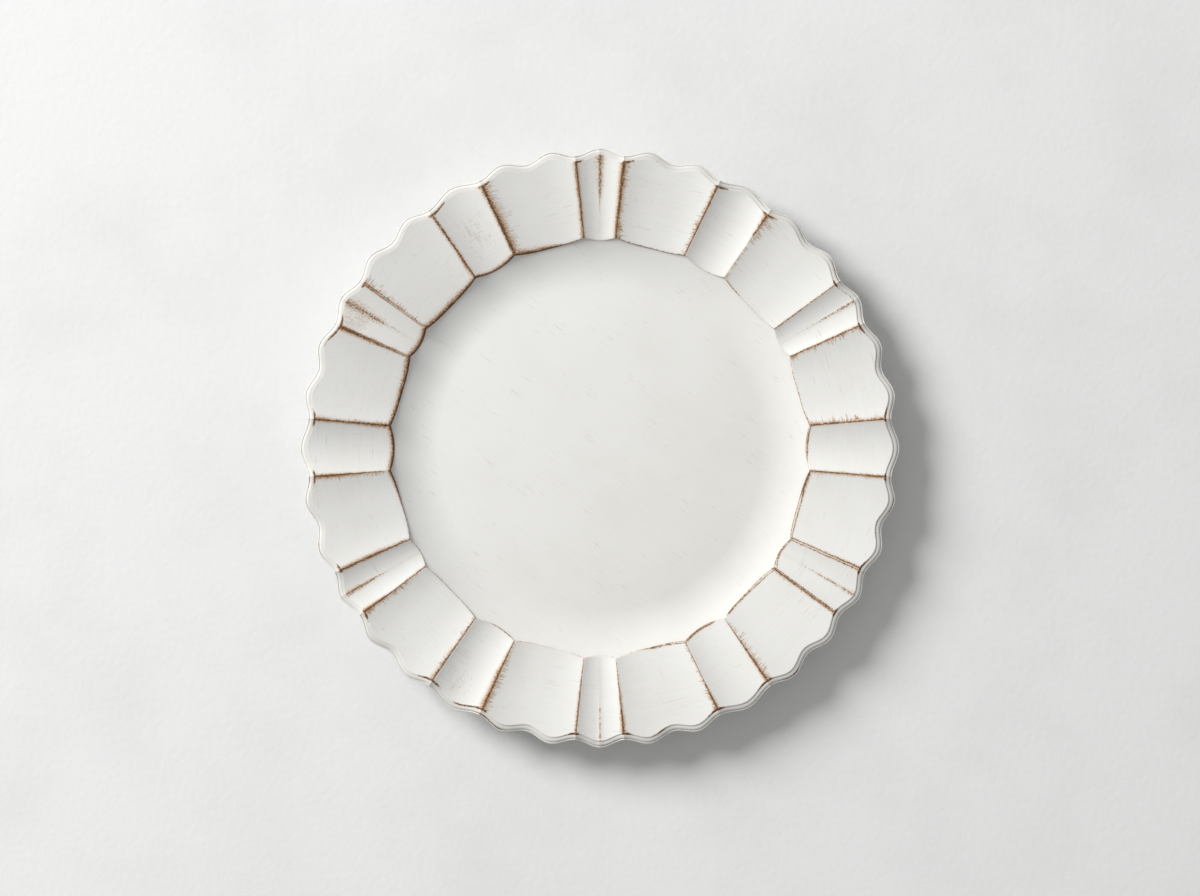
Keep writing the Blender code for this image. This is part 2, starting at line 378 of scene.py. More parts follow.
# The arris round the well: clock angle in degrees, land and bare wood
WELL_WEAR = (
    (0, 0.0, 0.05), (5, 0.0, 0.2), (11, 0.0, 0.35), (14, 0.0, 0.3), (20, 0.0, 0.15), (36, 0.0, 0.1),
    (38, 0.0, 0.4), (41, 0.0, 0.35), (43, 0.0, 0.15), (56, 0.0, 0.05), (66, 0.0, 0.15), (70, 0.0, 0.3),
    (80, 0.0, 0.3), (84, 0.8, 0.3), (87, 0.8, 0.45), (91, 0.7, 0.4), (94, 0.0, 0.15), (96, 0.0, 0.2),
    (97, 0.4, 0.7), (102, 0.8, 0.7), (105, 1.4, 0.35), (112, 1.2, 0.3), (115, 0.8, 0.3), (120, 0.5, 0.5),
    (124, 1.5, 0.25), (131, 1.1, 0.3), (136, 0.5, 0.45), (142, 0.3, 0.5), (143, 0.0, 0.1), (146, 0.0, 0.15),
    (148, 0.7, 0.5), (154, 0.6, 0.5), (156, 1.0, 0.3), (162, 0.7, 0.3), (165, 0.4, 0.5), (169, 0.0, 0.15),
    (178, 0.0, 0.05), (190, 0.0, 0.1), (203, 0.0, 0.2), (204, 0.0, 0.05), (206, 0.0, 0.35), (211, 0.0, 0.3),
    (213, 0.0, 0.05), (217, 0.0, 0.1), (245, 0.0, 0.15), (250, 0.0, 0.15), (254, 0.0, 0.3), (259, 0.0, 0.7),
    (265, 0.0, 1.1), (275, 0.0, 1.1), (285, 0.0, 1.2), (295, 0.0, 1.4), (303, 0.0, 1.3), (315, 0.0, 1.4),
    (323, 0.0, 1.0), (327, 0.0, 0.8), (335, 0.0, 1.1), (342, 0.0, 1.3), (347, 0.0, 0.9), (350, 0.0, 0.4),
    (355, 0.0, 0.2), (358, 0.0, 0.05),
)
# Tan smudges: clock angle in degrees, radius and size in millimetres, and strength
SMUDGES = (
    (330, 142.0, 9.0, 0.5), (331, 130.0, 8.0, 0.35), (211, 150.0, 9.0, 0.5), (299, 151.0, 9.0, 0.7),
    (296, 154.0, 6.0, 0.6), (358, 150.0, 6.0, 0.3),
)
RidgeWear = namedtuple("RidgeWear", "land before after ticks dashes")
RIDGES = [RidgeWear(*row) for row in RIDGE_WEAR]
print(len(RIDGES), "ridges,", len(CREASE_WEAR), "creases and", len(SMUDGES), "smudges")

# %% [markdown]
# ## A stave by Geometry Nodes
#
# Twenty-four staves share one rule, so one node tree makes them all. It could start from a grid,
# but a grid has open edges. A cylinder with filled ends is already a closed solid: its wall can
# carry the stave's section, and its two ends become the joints. The modifier's own mesh is that
# section, drawn once as a ring of points, and the tree reads point after point of it round the
# cylinder. Each point says how far along the stave it lies, how far it stands out beyond the
# arris, and how deep it sits between top and underside. Two attributes add the moulding of the
# edge: the drop of the bead and of the small lip under it, and the cut of the quirk, which is the
# narrow groove inside the bead.

# %% Draw the section of a stave
TOP_STEPS = 46
UNDER_STEPS = 6
END_STEPS = 4
QUIRK_STEPS = 10
BEAD_STEPS = 12
LIP_STEPS = 12
FACE_STEPS = 5
EVEN_SHARE = 0.35

QUIRK_WIDTH = 1.3 * MM
QUIRK_STEP = 0.5 * MM
QUIRK_GROOVE = 0.2 * MM
BEAD_DROP = 0.12 * MM
BEAD_FALL = 1.1 * MM
GROOVE_PLACE = 3.05 * MM
LIP_RADIUS = 0.45 * MM
LIP_SWEEP = math.radians(234)
UNDERCUT = 2.4 * MM


def eased(share):
    """Steps that crowd together towards both ends of a run."""
    return EVEN_SHARE * share + (1 - EVEN_SHARE) * rounded(share)


def edge_moulding():
    """Quirk, bead and lip, as (out beyond the arris, drop below it, cut of the quirk)."""
    points = []
    for i in range(1, QUIRK_STEPS + 1):
        share = i / QUIRK_STEPS
        cut = QUIRK_STEP * rounded(share) + QUIRK_GROOVE * math.sin(math.pi * share) ** 2
        points.append((QUIRK_WIDTH * share, BEAD_DROP * share, cut))
    for i in range(1, BEAD_STEPS + 1):
        turn = math.pi / 2 * i / BEAD_STEPS
        out = QUIRK_WIDTH + (GROOVE_PLACE - QUIRK_WIDTH) * math.sin(turn)
        points.append((out, BEAD_DROP + BEAD_FALL * (1 - math.cos(turn)), QUIRK_STEP))
    lip_out = PLATE["bead_reach"] + PLATE["lip_reach"] - LIP_RADIUS
    lip_drop = BEAD_DROP + BEAD_FALL + LIP_RADIUS / 2
    for i in range(1, LIP_STEPS + 1):
        turn = math.pi - LIP_SWEEP * i / LIP_STEPS
        out = lip_out + LIP_RADIUS * math.cos(turn)
        points.append((out, lip_drop - LIP_RADIUS * math.sin(turn), QUIRK_STEP))
    return points


def section_points():
    """The closed section as (along, out, depth, drop, cut), from the outer arris inwards and round."""
    top = [(1 - eased(i / TOP_STEPS), 0.0, 0.0, 0.0, 0.0) for i in range(TOP_STEPS + 1)]
    end = [(0.0, 0.0, i / END_STEPS, 0.0, 0.0) for i in range(1, END_STEPS)]
    under = [(i / UNDER_STEPS, 0.0, 1.0, 0.0, 0.0) for i in range(UNDER_STEPS + 1)]
    moulding = edge_moulding()
    lip_out, lip_drop, lip_cut = moulding[-1]
    face = []
    for i in range(FACE_STEPS):
        turn = math.pi / 2 * i / FACE_STEPS
        out = UNDERCUT + (lip_out - UNDERCUT) * math.sin(turn)
        face.append((1.0, out, math.cos(turn), lip_drop, lip_cut))
    edge = [(1.0, out, 0.0, drop, cut) for out, drop, cut in reversed(moulding)]
    return top + end + under + face + edge


def section_mesh():
    points = section_points()
    count = len(points)
    mesh = bpy.data.meshes.new("stave_section")
    mesh.from_pydata([point[:3] for point in points], [(i, (i + 1) % count) for i in range(count)], [])
    for name, column in (("drop", 3), ("cut", 4)):
        numbers = [point[column] for point in points]
        mesh.attributes.new(name, "FLOAT", "POINT").data.foreach_set("value", numbers)
    return mesh


print(len(section_points()), "points round the section of a stave")

# %% [markdown]
# The tree itself: every size is a named input, and the formulas of the rim turn them into Math
# nodes. Before the points move, the tree also stores how far each lies from the nearest joint,
# from the well and from the edge, because the paint needs to know. Where two staves meet, both
# are eased down a little, as sanded wood is, so that a fine groove marks the joint, and the inner
# end is rounded to a nose. The quirk isn't as deep all round, so its depth swings with the angle.

# %% Tree of a stave
JOINT_GAP = 0.03 * MM
EASE_WIDTH = 0.8 * MM
EASE_DROP = 0.12 * MM
NOSE_WIDTH = 0.6 * MM
NOSE_DROP = 0.16 * MM
QUIRK_TURN = math.radians(125)
QUIRK_MEAN = 0.5
QUIRK_SWING = 0.75
STEPS_ACROSS = 64


def start_tree(name, numbers):
    """A new Geometry Nodes tree with named number inputs, and those inputs as fields."""
    tree = bpy.data.node_groups.new(name, "GeometryNodeTree")
    tree.interface.new_socket("Geometry", in_out="INPUT", socket_type="NodeSocketGeometry")
    tree.interface.new_socket("Geometry", in_out="OUTPUT", socket_type="NodeSocketGeometry")
    tree.interface.new_socket("Material", in_out="INPUT", socket_type="NodeSocketMaterial")
    for number in numbers:
        tree.interface.new_socket(number, in_out="INPUT", socket_type="NodeSocketFloat")
    start = tree.nodes.new("NodeGroupInput")
    fields = SimpleNamespace(**{number: Field(start.outputs[number]) for number in numbers})
    return tree, start, fields


def add_node(tree, kind, **inputs):
    """A node with its inputs set or linked by their names, spaces written as underscores."""
    node = tree.nodes.new(kind)
    for name, value in inputs.items():
        plug(value, node.inputs[name.replace("_", " ")])
    return node


def end_tree(tree, start, geometry):
    """Real geometry, its material and the tree's output."""
    real = add_node(tree, "GeometryNodeRealizeInstances", Geometry=geometry)
    painted = add_node(tree, "GeometryNodeSetMaterial", Geometry=Field(real.outputs["Geometry"]))
    plug(Field(start.outputs["Material"]), painted.inputs["Material"])
    end = tree.nodes.new("NodeGroupOutput")
    plug(Field(painted.outputs["Geometry"]), end.inputs["Geometry"])


def separate(vector):
    node = add_node(vector.tree, "ShaderNodeSeparateXYZ", Vector=vector)
    return [Field(socket) for socket in node.outputs]


def combine(tree, x, y, z):
    return Field(add_node(tree, "ShaderNodeCombineXYZ", X=x, Y=y, Z=z).outputs[0])


def store(geometry, name, value):
    node = add_node(geometry.tree, "GeometryNodeStoreNamedAttribute", Geometry=geometry, Name=name)
    node.data_type = "FLOAT"
    node.domain = "POINT"
    plug(value, node.inputs["Value"])
    return Field(node.outputs["Geometry"])


def named(tree, name):
    return Field(add_node(tree, "GeometryNodeInputNamedAttribute", Name=name).outputs["Attribute"])


def sample(geometry, value, index, data_type):
    """The value at one point of a geometry."""
    node = geometry.tree.nodes.new("GeometryNodeSampleIndex")
    node.data_type = data_type
    for name, field in (("Geometry", geometry), ("Value", value), ("Index", index)):
        plug(field, node.inputs[name])
    return Field(node.outputs[0])


def quirk_depth(s, angle):
    """1 where the quirk is cut in full, round the angle quirk_turn, and 0 on the far side."""
    return at_most(at_least(cosine(angle - s.quirk_turn) * QUIRK_SWING + QUIRK_MEAN, 0.0), 1.0)


def stave_tree(sizes):
    tree, start, s = start_tree("hollowed_stave", sizes)
    section = Field(start.outputs["Geometry"])
    size = add_node(tree, "GeometryNodeAttributeDomainSize", Geometry=section)
    count = Field(size.outputs["Point Count"])
    blank = tree.nodes.new("GeometryNodeMeshCylinder")
    blank.fill_type = "NGON"
    plug(count, blank.inputs["Vertices"])
    plug(s.steps_across, blank.inputs["Side Segments"])
    plug(2.0, blank.inputs["Depth"])

    position = Field(tree.nodes.new("GeometryNodeInputPosition").outputs[0])
    index = Field(tree.nodes.new("GeometryNodeInputIndex").outputs[0]).math("MODULO", count)
    along, out, depth = separate(sample(section, position, index, "FLOAT_VECTOR"))
    drop, cut = (sample(section, named(tree, name), index, "FLOAT") for name in ("drop", "cut"))
    step = separate(position)[2]
    # Steps across crowd towards both joints, as eased() does on a run from 0 to 1
    u = step * EVEN_SHARE + (step * 1.5 - step * step * step * 0.5) * (1 - EVEN_SHARE)

    inner = well_edge(s, u) + s.joint_gap
    arris = lip_radius(s, u) - s.lip_reach - s.bead_reach
    on_top = (arris - inner) * along + inner
    r = on_top + out
    first, last = span(s, r)
    to_joint = (1 - abs(u)) * (last - first) * r * 0.5
    to_well = on_top - inner
    to_edge = arris - r

    geometry = Field(blank.outputs["Mesh"])
    distances = dict(across=u, to_joint=to_joint, to_well=to_well, to_edge=to_edge)
    for name, value in distances.items():
        geometry = store(geometry, name, value)

    glue = s.joint_gap * 0.5 / r
    angle = first + glue + (last - first - glue * 2) * (u + 1) * 0.5
    beside = at_least(1 - to_joint / s.ease_width, 0.0) ** 2.0
    ease = beside * at_least(1 - out / s.ease_width, 0.0) * s.ease_drop
    nose = at_least(1 - to_well / s.nose_width, 0.0) ** 2.0 * s.nose_drop
    top = top_height(s, u, on_top) - (nose + ease) - drop - cut * quirk_depth(s, angle)
    under = seat_height(s, r) + s.joint_gap
    z = top + (under - top) * depth
    moved = add_node(tree, "GeometryNodeSetPosition", Geometry=geometry)
    plug(combine(tree, r * sine(angle), r * cosine(angle), z), moved.inputs["Position"])
    end_tree(tree, start, Field(moved.outputs["Geometry"]))
    return tree


SHOP = dict(
    joint_gap=JOINT_GAP,
    ease_width=EASE_WIDTH,
    ease_drop=EASE_DROP,
    nose_width=NOSE_WIDTH,
    nose_drop=NOSE_DROP,
    quirk_turn=QUIRK_TURN,
    steps_across=STEPS_ACROSS,
)
STAVE_TREE = stave_tree([*vars(STAVES[0].sizes), *SHOP])
print("tree of a stave:", len(STAVE_TREE.nodes), "nodes")

# %% [markdown]
# ## Paint, and what shows under it
#
# The finish is one recipe in three strengths. Off-white satin paint was dragged on with a dry
# brush, so it carries fine streaks across each stave. Where it is rubbed off, brown wood shows:
# solid close to a ridge, then in grains, then only in ticks left between the bristles, and a tan
# stain runs out a little further. The attributes of the mesh say how close a ridge is and how far
# its wood is bare, and noise breaks the border between wood and paint. All of it is tied to the
# surface, so it stays in place from any side.

# %% Helpers for shader trees
PAINT = (0.80, 0.795, 0.762)
PAINT_SHADE = (0.73, 0.72, 0.68)
PAINT_TINT = (0.84, 0.838, 0.818)
STAIN = (0.52, 0.345, 0.21)
WOOD_TAN = (0.40, 0.23, 0.115)
WOOD_MID = (0.165, 0.078, 0.034)
WOOD_DARK = (0.056, 0.026, 0.011)
BRUSH_TAN = (0.52, 0.48, 0.41)


def attribute(tree, name):
    node = tree.nodes.new("ShaderNodeAttribute")
    node.attribute_name = name
    return separate(Field(node.outputs["Vector"]))


def noise(x, y, z, detail=2.0, roughness=0.5):
    """Noise at a place given in cells, so that a cell is as long as the place is divided by."""
    place = combine(x.tree, x, y, z)
    settings = dict(Scale=1.0, Detail=detail, Roughness=roughness)
    node = add_node(x.tree, "ShaderNodeTexNoise", Vector=place, **settings)
    return Field(node.outputs[0])


def smooth_step(value, low, high):
    """0 below low, 1 above high, and a soft step between them."""
    node = value.tree.nodes.new("ShaderNodeMapRange")
    node.interpolation_type = "SMOOTHSTEP"
    for slot, number in enumerate((value, low, high, 0.0, 1.0)):
        plug(number, node.inputs[slot])
    return Field(node.outputs[0])


def colour_ramp(value, *stops):
    node = value.tree.nodes.new("ShaderNodeValToRGB")
    elements = node.color_ramp.elements
    while len(elements) < len(stops):
        elements.new(1.0)
    for element, (place, colour) in zip(elements, stops):
        element.position = place
        element.color = (*colour, 1.0)
    plug(value, node.inputs["Fac"])
    return Field(node.outputs["Color"])


def mix(factor, low, high):
    """A blend of two colours."""
    node = factor.tree.nodes.new("ShaderNodeMix")
    node.data_type = "RGBA"
    factor_slot, low_slot, high_slot = (node.inputs[i] for i in (0, 6, 7))
    plug(factor, factor_slot)
    plug(low, low_slot)
    plug(high, high_slot)
    return Field(node.outputs[2])


def start_material(name, **settings):
    """A material with its shader, whose even settings are written straight on its sockets."""
    material = bpy.data.materials.new(name)
    material.use_nodes = True
    shader = material.node_tree.nodes["Principled BSDF"]
    for setting, value in settings.items():
        shader.inputs[setting.replace("_", " ")].default_value = value
    return material, shader


def add_bump(shader, height):
    """Relief with its height in millimetres."""
    bump = add_node(height.tree, "ShaderNodeBump", Height=height, Distance=MM, Strength=1.0)
    plug(Field(bump.outputs["Normal"]), shader.inputs["Normal"])


print("shader helpers ready")

# %% What the mesh says about wear
WEAR_ATTRIBUTES = dict(
    grain=("x", "y", "seed"),
    gaps=("to_joint", "to_well", "to_edge"),
    bare=("bare_joint", "bare_well", "bare_edge"),
    land=("land_joint", "land_well", "fray"),
    hold=("hold_joint", "hold_well", "soot"),
    marks=("ticks", "smudge", "hold_edge"),
)
# Noise of the finish: cells per millimetre along and across the strokes, seed, detail, roughness
GRAIN_NOISE = dict(
    stipple=(2.2, 2.6, 0.0, 1.0, 0.5),
    grit=(1.2, 1.3, 4.0, 1.0, 0.5),
    hairs=(0.12, 2.4, 9.0, 1.0, 0.5),
    patches=(0.16, 0.16, 5.0, 2.0, 0.5),
    smears=(0.7, 0.12, 6.0, 1.0, 0.5),
    streaks=(0.05, 1.3, 2.0, 3.0, 0.6),
    lines=(0.08, 2.0, 7.0, 1.0, 0.5),
    stretches=(0.04, 0.08, 11.0, 1.0, 0.5),
    clouds=(0.03, 0.03, 3.0, 3.0, 0.5),
)


def read_wear(tree):
    """The attributes of the mesh as fields, with a plain name for each part."""
    fields = {}
    for name, parts in WEAR_ATTRIBUTES.items():
        fields.update(zip(parts, attribute(tree, name)))
    return SimpleNamespace(**fields)


def read_noise(w):
    """Each noise of the finish as a field round zero."""
    fields = {}
    for name, (along, across, seed, detail, roughness) in GRAIN_NOISE.items():
        fields[name] = noise(w.x * along, w.y * across, w.seed + seed, detail, roughness) - 0.5
    return SimpleNamespace(**fields)


print(len(WEAR_ATTRIBUTES), "attributes and", len(GRAIN_NOISE), "kinds of noise")

# %% Where the wood is bare
RIDGE_BARE = 0.3
HAIR_PULL = 2.4
SHORT_TICK = 0.01
TICK_STEP = (0.2, 0.45)
TICK_NEAR = 0.75
TICK_LOSS = 0.4
GRIT_PULL = 1.8
STIPPLE_PULL = 1.3
PATCH_PULL = 0.5
BARE_STEP = (0.25, 0.75)
SMEAR_PULL = 1.4
HAZE_STEP = (0.4, 1.2)
HAZE_MOST = 0.4
SPECK_CELLS = 0.4
SPECK_RADIUS = 0.13
SPECK_SOFTNESS = 0.08
SPECK_CHANCE = (0.985, 0.99)
SPECK_MOST = 0.5


def line_nearness(distance, land, bare):
    """1 on a ridge and on the border of its land, and half where the bare wood ends beside them."""
    border = 1 - abs(distance - land) / (bare * 2)
    return at_least(border, 1 - distance / (at_most(bare, RIDGE_BARE) * 2))


def ridge_nearness(w, joint_spread=1.0, well_spread=1.0):
    """Nearness to the joints and to the well, held back along lines that are only dotted."""
    joint = line_nearness(w.to_joint, w.land_joint, w.bare_joint * joint_spread) * w.hold_joint
    well = line_nearness(w.to_well, w.land_well, w.bare_well * well_spread) * w.hold_well
    return at_least(joint, well)


def specks_over(w):
    """Round specks of half a millimetre, in a few of the cells of a net."""
    tree = w.x.tree
    net = tree.nodes.new("ShaderNodeTexVoronoi")
    plug(combine(tree, w.x * SPECK_CELLS, w.y * SPECK_CELLS, w.seed), net.inputs["Vector"])
    plug(1.0, net.inputs["Scale"])
    chance = separate(Field(net.outputs["Color"]))[0]
    dots = smooth_step(SPECK_RADIUS - Field(net.outputs["Distance"]), 0.0, SPECK_SOFTNESS)
    return dots * smooth_step(chance, *SPECK_CHANCE)


def bare_wood(w, n):
    """Nearness to a worn line, ticks of the brush, grains, and how bare the wood is."""
    near = at_least(ridge_nearness(w), line_nearness(w.to_edge, 0.0, w.bare_edge) + w.hold_edge)
    reach = w.to_joint / at_least(w.ticks, SHORT_TICK)
    tick = smooth_step(n.hairs * HAIR_PULL + n.patches + 0.5 - reach, *TICK_STEP)
    near = at_least(near, tick * TICK_NEAR - TICK_LOSS)
    grains = n.grit * GRIT_PULL + n.stipple * STIPPLE_PULL
    band = smooth_step(near + grains * w.fray + n.patches * PATCH_PULL, *BARE_STEP)
    haze = smooth_step(w.smudge + n.smears * SMEAR_PULL + grains, *HAZE_STEP) * HAZE_MOST
    worn = at_least(at_least(band, haze), specks_over(w) * SPECK_MOST)
    return near, tick, grains, worn


print("a ridge beside a land is bare for", RIDGE_BARE, "mm")

# %% Stain and paint
JOINT_HALO = 2.2
WELL_HALO = 2.0
HALO_GRAIN = 0.25
HALO_PATCH = 0.2
STAIN_GAIN = 2.2
STAIN_MOST = 0.8
TICK_STAIN = 0.6
DIRT_FALL = 0.3
DIRT_PULL = 1.2
DIRT_STEP = (0.2, 1.4)
DIRT_MOST = 0.12
LINE_STEP = (0.16, 0.24)
STRETCH_STEP = (0.12, 0.2)
DASH_SPREAD = 0.15
CLOUD_PULL = 0.5
TONE_STOPS = (0.1, 0.5, 0.9)


def stain_beside(w, n, near, tick, grains):
    """A tan stain that runs out further than the bare wood, and dirt along joints and well."""
    halo = at_least(ridge_nearness(w, JOINT_HALO, WELL_HALO), near)
    halo = at_least(halo + grains * HALO_GRAIN + n.patches * HALO_PATCH, 0.0)
    stain = at_least(at_most(halo * halo * halo * STAIN_GAIN, STAIN_MOST), tick * TICK_STAIN)
    dirt = at_least(1 - at_most(w.to_joint, w.to_well) * DIRT_FALL, 0.0)
    return at_least(stain, smooth_step(dirt + n.patches * DIRT_PULL, *DIRT_STEP) * DIRT_MOST)


def brushed_paint(w, n, whiteness, streak, dash, painted_falloff):
    """Fine streaks all over, soft clouds, and a few long thin dashes. A value of smudge below 0 darkens the
    tone; it is set so on the bead and lip of the staves.
    """
    dashes = smooth_step(n.lines, *LINE_STEP) * smooth_step(n.stretches + dash * DASH_SPREAD, *STRETCH_STEP)
    # painted_falloff paints light falling off across the surface: the tone darkens with the place along the
    # strokes
    tone = n.streaks * streak + n.clouds * CLOUD_PULL + 0.5 - w.x * painted_falloff + at_most(w.smudge, 0.0)
    shades = [tuple(whiteness * part for part in colour) for colour in (PAINT_SHADE, PAINT, PAINT_TINT)]
    return mix(dashes * dash, colour_ramp(tone, *zip(TONE_STOPS, shades)), (*BRUSH_TAN, 1.0))


print("a stain", JOINT_HALO, "times as wide as the bare wood")

# %% Three strengths of worn paint
PAINT_GLOSS = 0.2
HEAT_LOSS = 0.25
HEAT_GRIT = 0.8
HEAT_STIPPLE = 0.6
WOOD_STOPS = ((0.15, WOOD_TAN), (0.6, WOOD_MID), (1.0, WOOD_DARK))
PAINT_ROUGHNESS = 0.5
WOOD_ROUGHER = 0.25
STREAK_ROUGHER = 0.2
STREAK_RELIEF = 0.03
PAINT_THICKNESS = 0.05
GRIT_RELIEF = 0.06


def worn_paint(name, whiteness, streak, dash, painted_falloff):
    """Off-white brushed paint, worn to the wood.

    Streak and dash are strengths of brush marks, and painted_falloff is a painted fall of light: how much
    the tone darkens along the strokes, towards the side away from the light.
    """
    material, shader = start_material(name, Specular_IOR_Level=PAINT_GLOSS)
    w = read_wear(material.node_tree)
    n = read_noise(w)
    near, tick, grains, worn = bare_wood(w, n)
    paint = brushed_paint(w, n, whiteness, streak, dash, painted_falloff)
    paint = mix(stain_beside(w, n, near, tick, grains), paint, (*STAIN, 1.0))
    # soot darkens the bare wood: where the well's wear is heaviest, a little on the dish, and as painted
    # shade along the seam of the ring
    heat = near - HEAT_LOSS + n.grit * HEAT_GRIT + n.stipple * HEAT_STIPPLE + w.soot
    plug(mix(worn, paint, colour_ramp(heat, *WOOD_STOPS)), shader.inputs["Base Color"])
    roughness = worn * WOOD_ROUGHER + n.streaks * STREAK_ROUGHER + PAINT_ROUGHNESS
    plug(roughness, shader.inputs["Roughness"])
    add_bump(shader, n.streaks * STREAK_RELIEF - worn * PAINT_THICKNESS + n.grit * worn * GRIT_RELIEF)
    return material


RIM_PAINT = worn_paint("rim_paint_brushed", whiteness=1.0, streak=0.5, dash=0.6, painted_falloff=0.0)
# The well's paint carries a painted fall of light, darker towards the lower right, away from the light
WELL_PAINT = worn_paint("well_paint_brushed", whiteness=1.03, streak=0.4, dash=0.6, painted_falloff=0.003)
LIP_PAINT = worn_paint("lip_paint_brushed", whiteness=0.95, streak=0.5, dash=0.0, painted_falloff=0.0)
print("three strengths of worn paint")

# %% [markdown]
# ## Make the staves
#
# Each stave is one run of the tree, kept as a plain mesh. Its stored distances and the wear
# tables then become the six attributes that the paint reads. `grain` is the place along and
# across the brush strokes, turned with each stave, and a seed. `gaps` are the distances to the
# nearest joint or crease, to the well and to the edge. `bare` says how far wood shows from each of
# these, `land` how wide the lands are and how frayed the border is, `hold` how solid the lines are
# and how dark the wood, which in the seam of the ring is painted shade, and `marks` the ticks, the
# smudges with a darker tone of the bead, and how solid the lines of the edge are.

# %% Run a tree and add a piece
SHARP_ANGLE = math.radians(40)


def run_tree(name, mesh, tree, material, values):
    """The tree's result as a plain mesh, with every input set by its identifier."""
    maker = bpy.data.objects.new(name + "_maker", mesh)
    bpy.context.scene.collection.objects.link(maker)
    modifier = maker.modifiers.new(tree.name, "NODES")
    modifier.node_group = tree
    for item in tree.interface.items_tree:
        if item.in_out == "INPUT" and item.name in values:
            modifier[item.identifier] = float(values[item.name])
        elif item.in_out == "INPUT" and item.name == "Material":
            modifier[item.identifier] = material
    graph = bpy.context.evaluated_depsgraph_get()
    made = bpy.data.meshes.new_from_object(
        maker.evaluated_get(graph), preserve_all_data_layers=True, depsgraph=graph
    )
    bpy.data.objects.remove(maker)
    return made


def add_piece(name, mesh, node):
    mesh.name = name
    mesh.shade_smooth()
    mesh.set_sharp_from_angle(angle=SHARP_ANGLE)
    piece = bpy.data.objects.new(name, mesh)
    bpy.context.scene.collection.objects.link(piece)
    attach(piece, BODY)
    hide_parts(node)
    return piece


def read_numbers(mesh, name):
    numbers = np.empty(len(mesh.vertices), np.float32)
    mesh.attributes[name].data.foreach_get("value", numbers)
    return numbers.astype(float)


def read_points(mesh):
    points = np.empty(3 * len(mesh.vertices), np.float32)
    mesh.vertices.foreach_get("co", points)
    return points.reshape(-1, 3).astype(float)


def write_vectors(mesh, name, *columns):
    """A vector attribute from three columns, each an array or one number."""
    values = np.empty((len(mesh.vertices), 3), np.float32)
    for i, column in enumerate(columns):
        values[:, i] = column
    mesh.attributes.new(name, "FLOAT_VECTOR", "POINT").data.foreach_set("vector", values.ravel())


print("a tree's result becomes a plain mesh that rides on", BODY)

# %% Look up the tables of wear


def clock_degrees(points):
    return np.degrees(np.arctan2(points[:, 0], points[:, 1])) % 360


def well_wear(points):
    """Land and bare wood along the arris of the well, at each point's angle."""
    degrees, lands, bares = zip(*WELL_WEAR)
    angles = clock_degrees(points)
    return np.interp(angles, degrees, lands, period=360), np.interp(angles, degrees, bares, period=360)


def smudge_strength(points):
    total = np.zeros(len(points))
    for degrees, radius, size, strength in SMUDGES:
        angle = math.radians(degrees)
        dx = points[:, 0] - radius * MM * math.sin(angle)
        dy = points[:, 1] - radius * MM * math.cos(angle)
        total += strength * np.exp(-(dx**2 + dy**2) / (size * MM) ** 2)
    return total


MEASURED_AT = (0.0, 0.5, 1.0)
BARE_SHARE = 0.65
FEWEST_TICKS = 0.3
HELD_AT = (0.05, 0.15, 0.3, 0.6, 1.2)
HELD = (0.3, 0.5, 0.7, 0.9, 1.0)


def held(bare):
    """How solid a line is: a thin one is only dotted."""
    return np.interp(bare, HELD_AT, HELD)


def joint_wear(number, u, along):
    """Land, bare wood, ticks and dashes beside the nearer joint of a stave."""
    first, last = RIDGES[number], RIDGES[(number + 1) % len(RIDGES)]
    early = u < 0
    rubbed = np.where(
        early, np.interp(along, MEASURED_AT, first.after), np.interp(along, MEASURED_AT, last.before)
    )
    bare = rubbed * BARE_SHARE
    land = np.where(early, first.land, last.land)
    ticks = np.where(early, first.ticks[1], last.ticks[0]) * np.clip(2 * bare, FEWEST_TICKS, 1.0)
    dash = np.where(early, first.dashes[1], last.dashes[0])
    return land, bare, ticks, dash


print("smudges reach", max(size for _, _, size, _ in SMUDGES), "mm")

# %% Wear of the edge, with painted shade on the side away from the light, and of the creases
# The side facing the light and the side away from it, for the painted shade of the edge
LIT_SIDE = math.radians(295)
SHADED_SIDE = math.radians(185)
BROWN_WAVES = (7, 17, 29)
LIT_SPREAD = 1.3
QUIRK_PHASE = 1.3
QUIRK_TAPER = 0.6
QUIRK_MOST = 0.4
QUIRK_RUBBED = 0.15
QUIRK_SHADE_GAIN = 0.2
QUIRK_LIT_FADE = 0.8
QUIRK_LEAST = 0.02
GROOVE_PHASE = 2.1
GROOVE_RUBBED = 0.25
GROOVE_SHADE_GAIN = 0.12
GROOVE_LIT_FADE = 0.3
GROOVE_SHADE_LEAST = 0.08
FLUTE_FRAY = 0.7
FULL_FRAY = 1.0
CREASE_FAINT = 0.4
THIN = 1e-3


def facing(points, clock):
    """1 on the side of the plate at a clock angle, and -1 on the far side."""
    return np.cos(np.radians(clock_degrees(points)) - clock)


def browned(points, phase):
    """0 to 1 round the edge, above 0 only on a few short stretches."""
    angle = np.radians(clock_degrees(points))
    waves = sum(np.sin(count * angle + (i + 1) * phase) for i, count in enumerate(BROWN_WAVES))
    return np.clip(waves - 1.0, 0, 1)


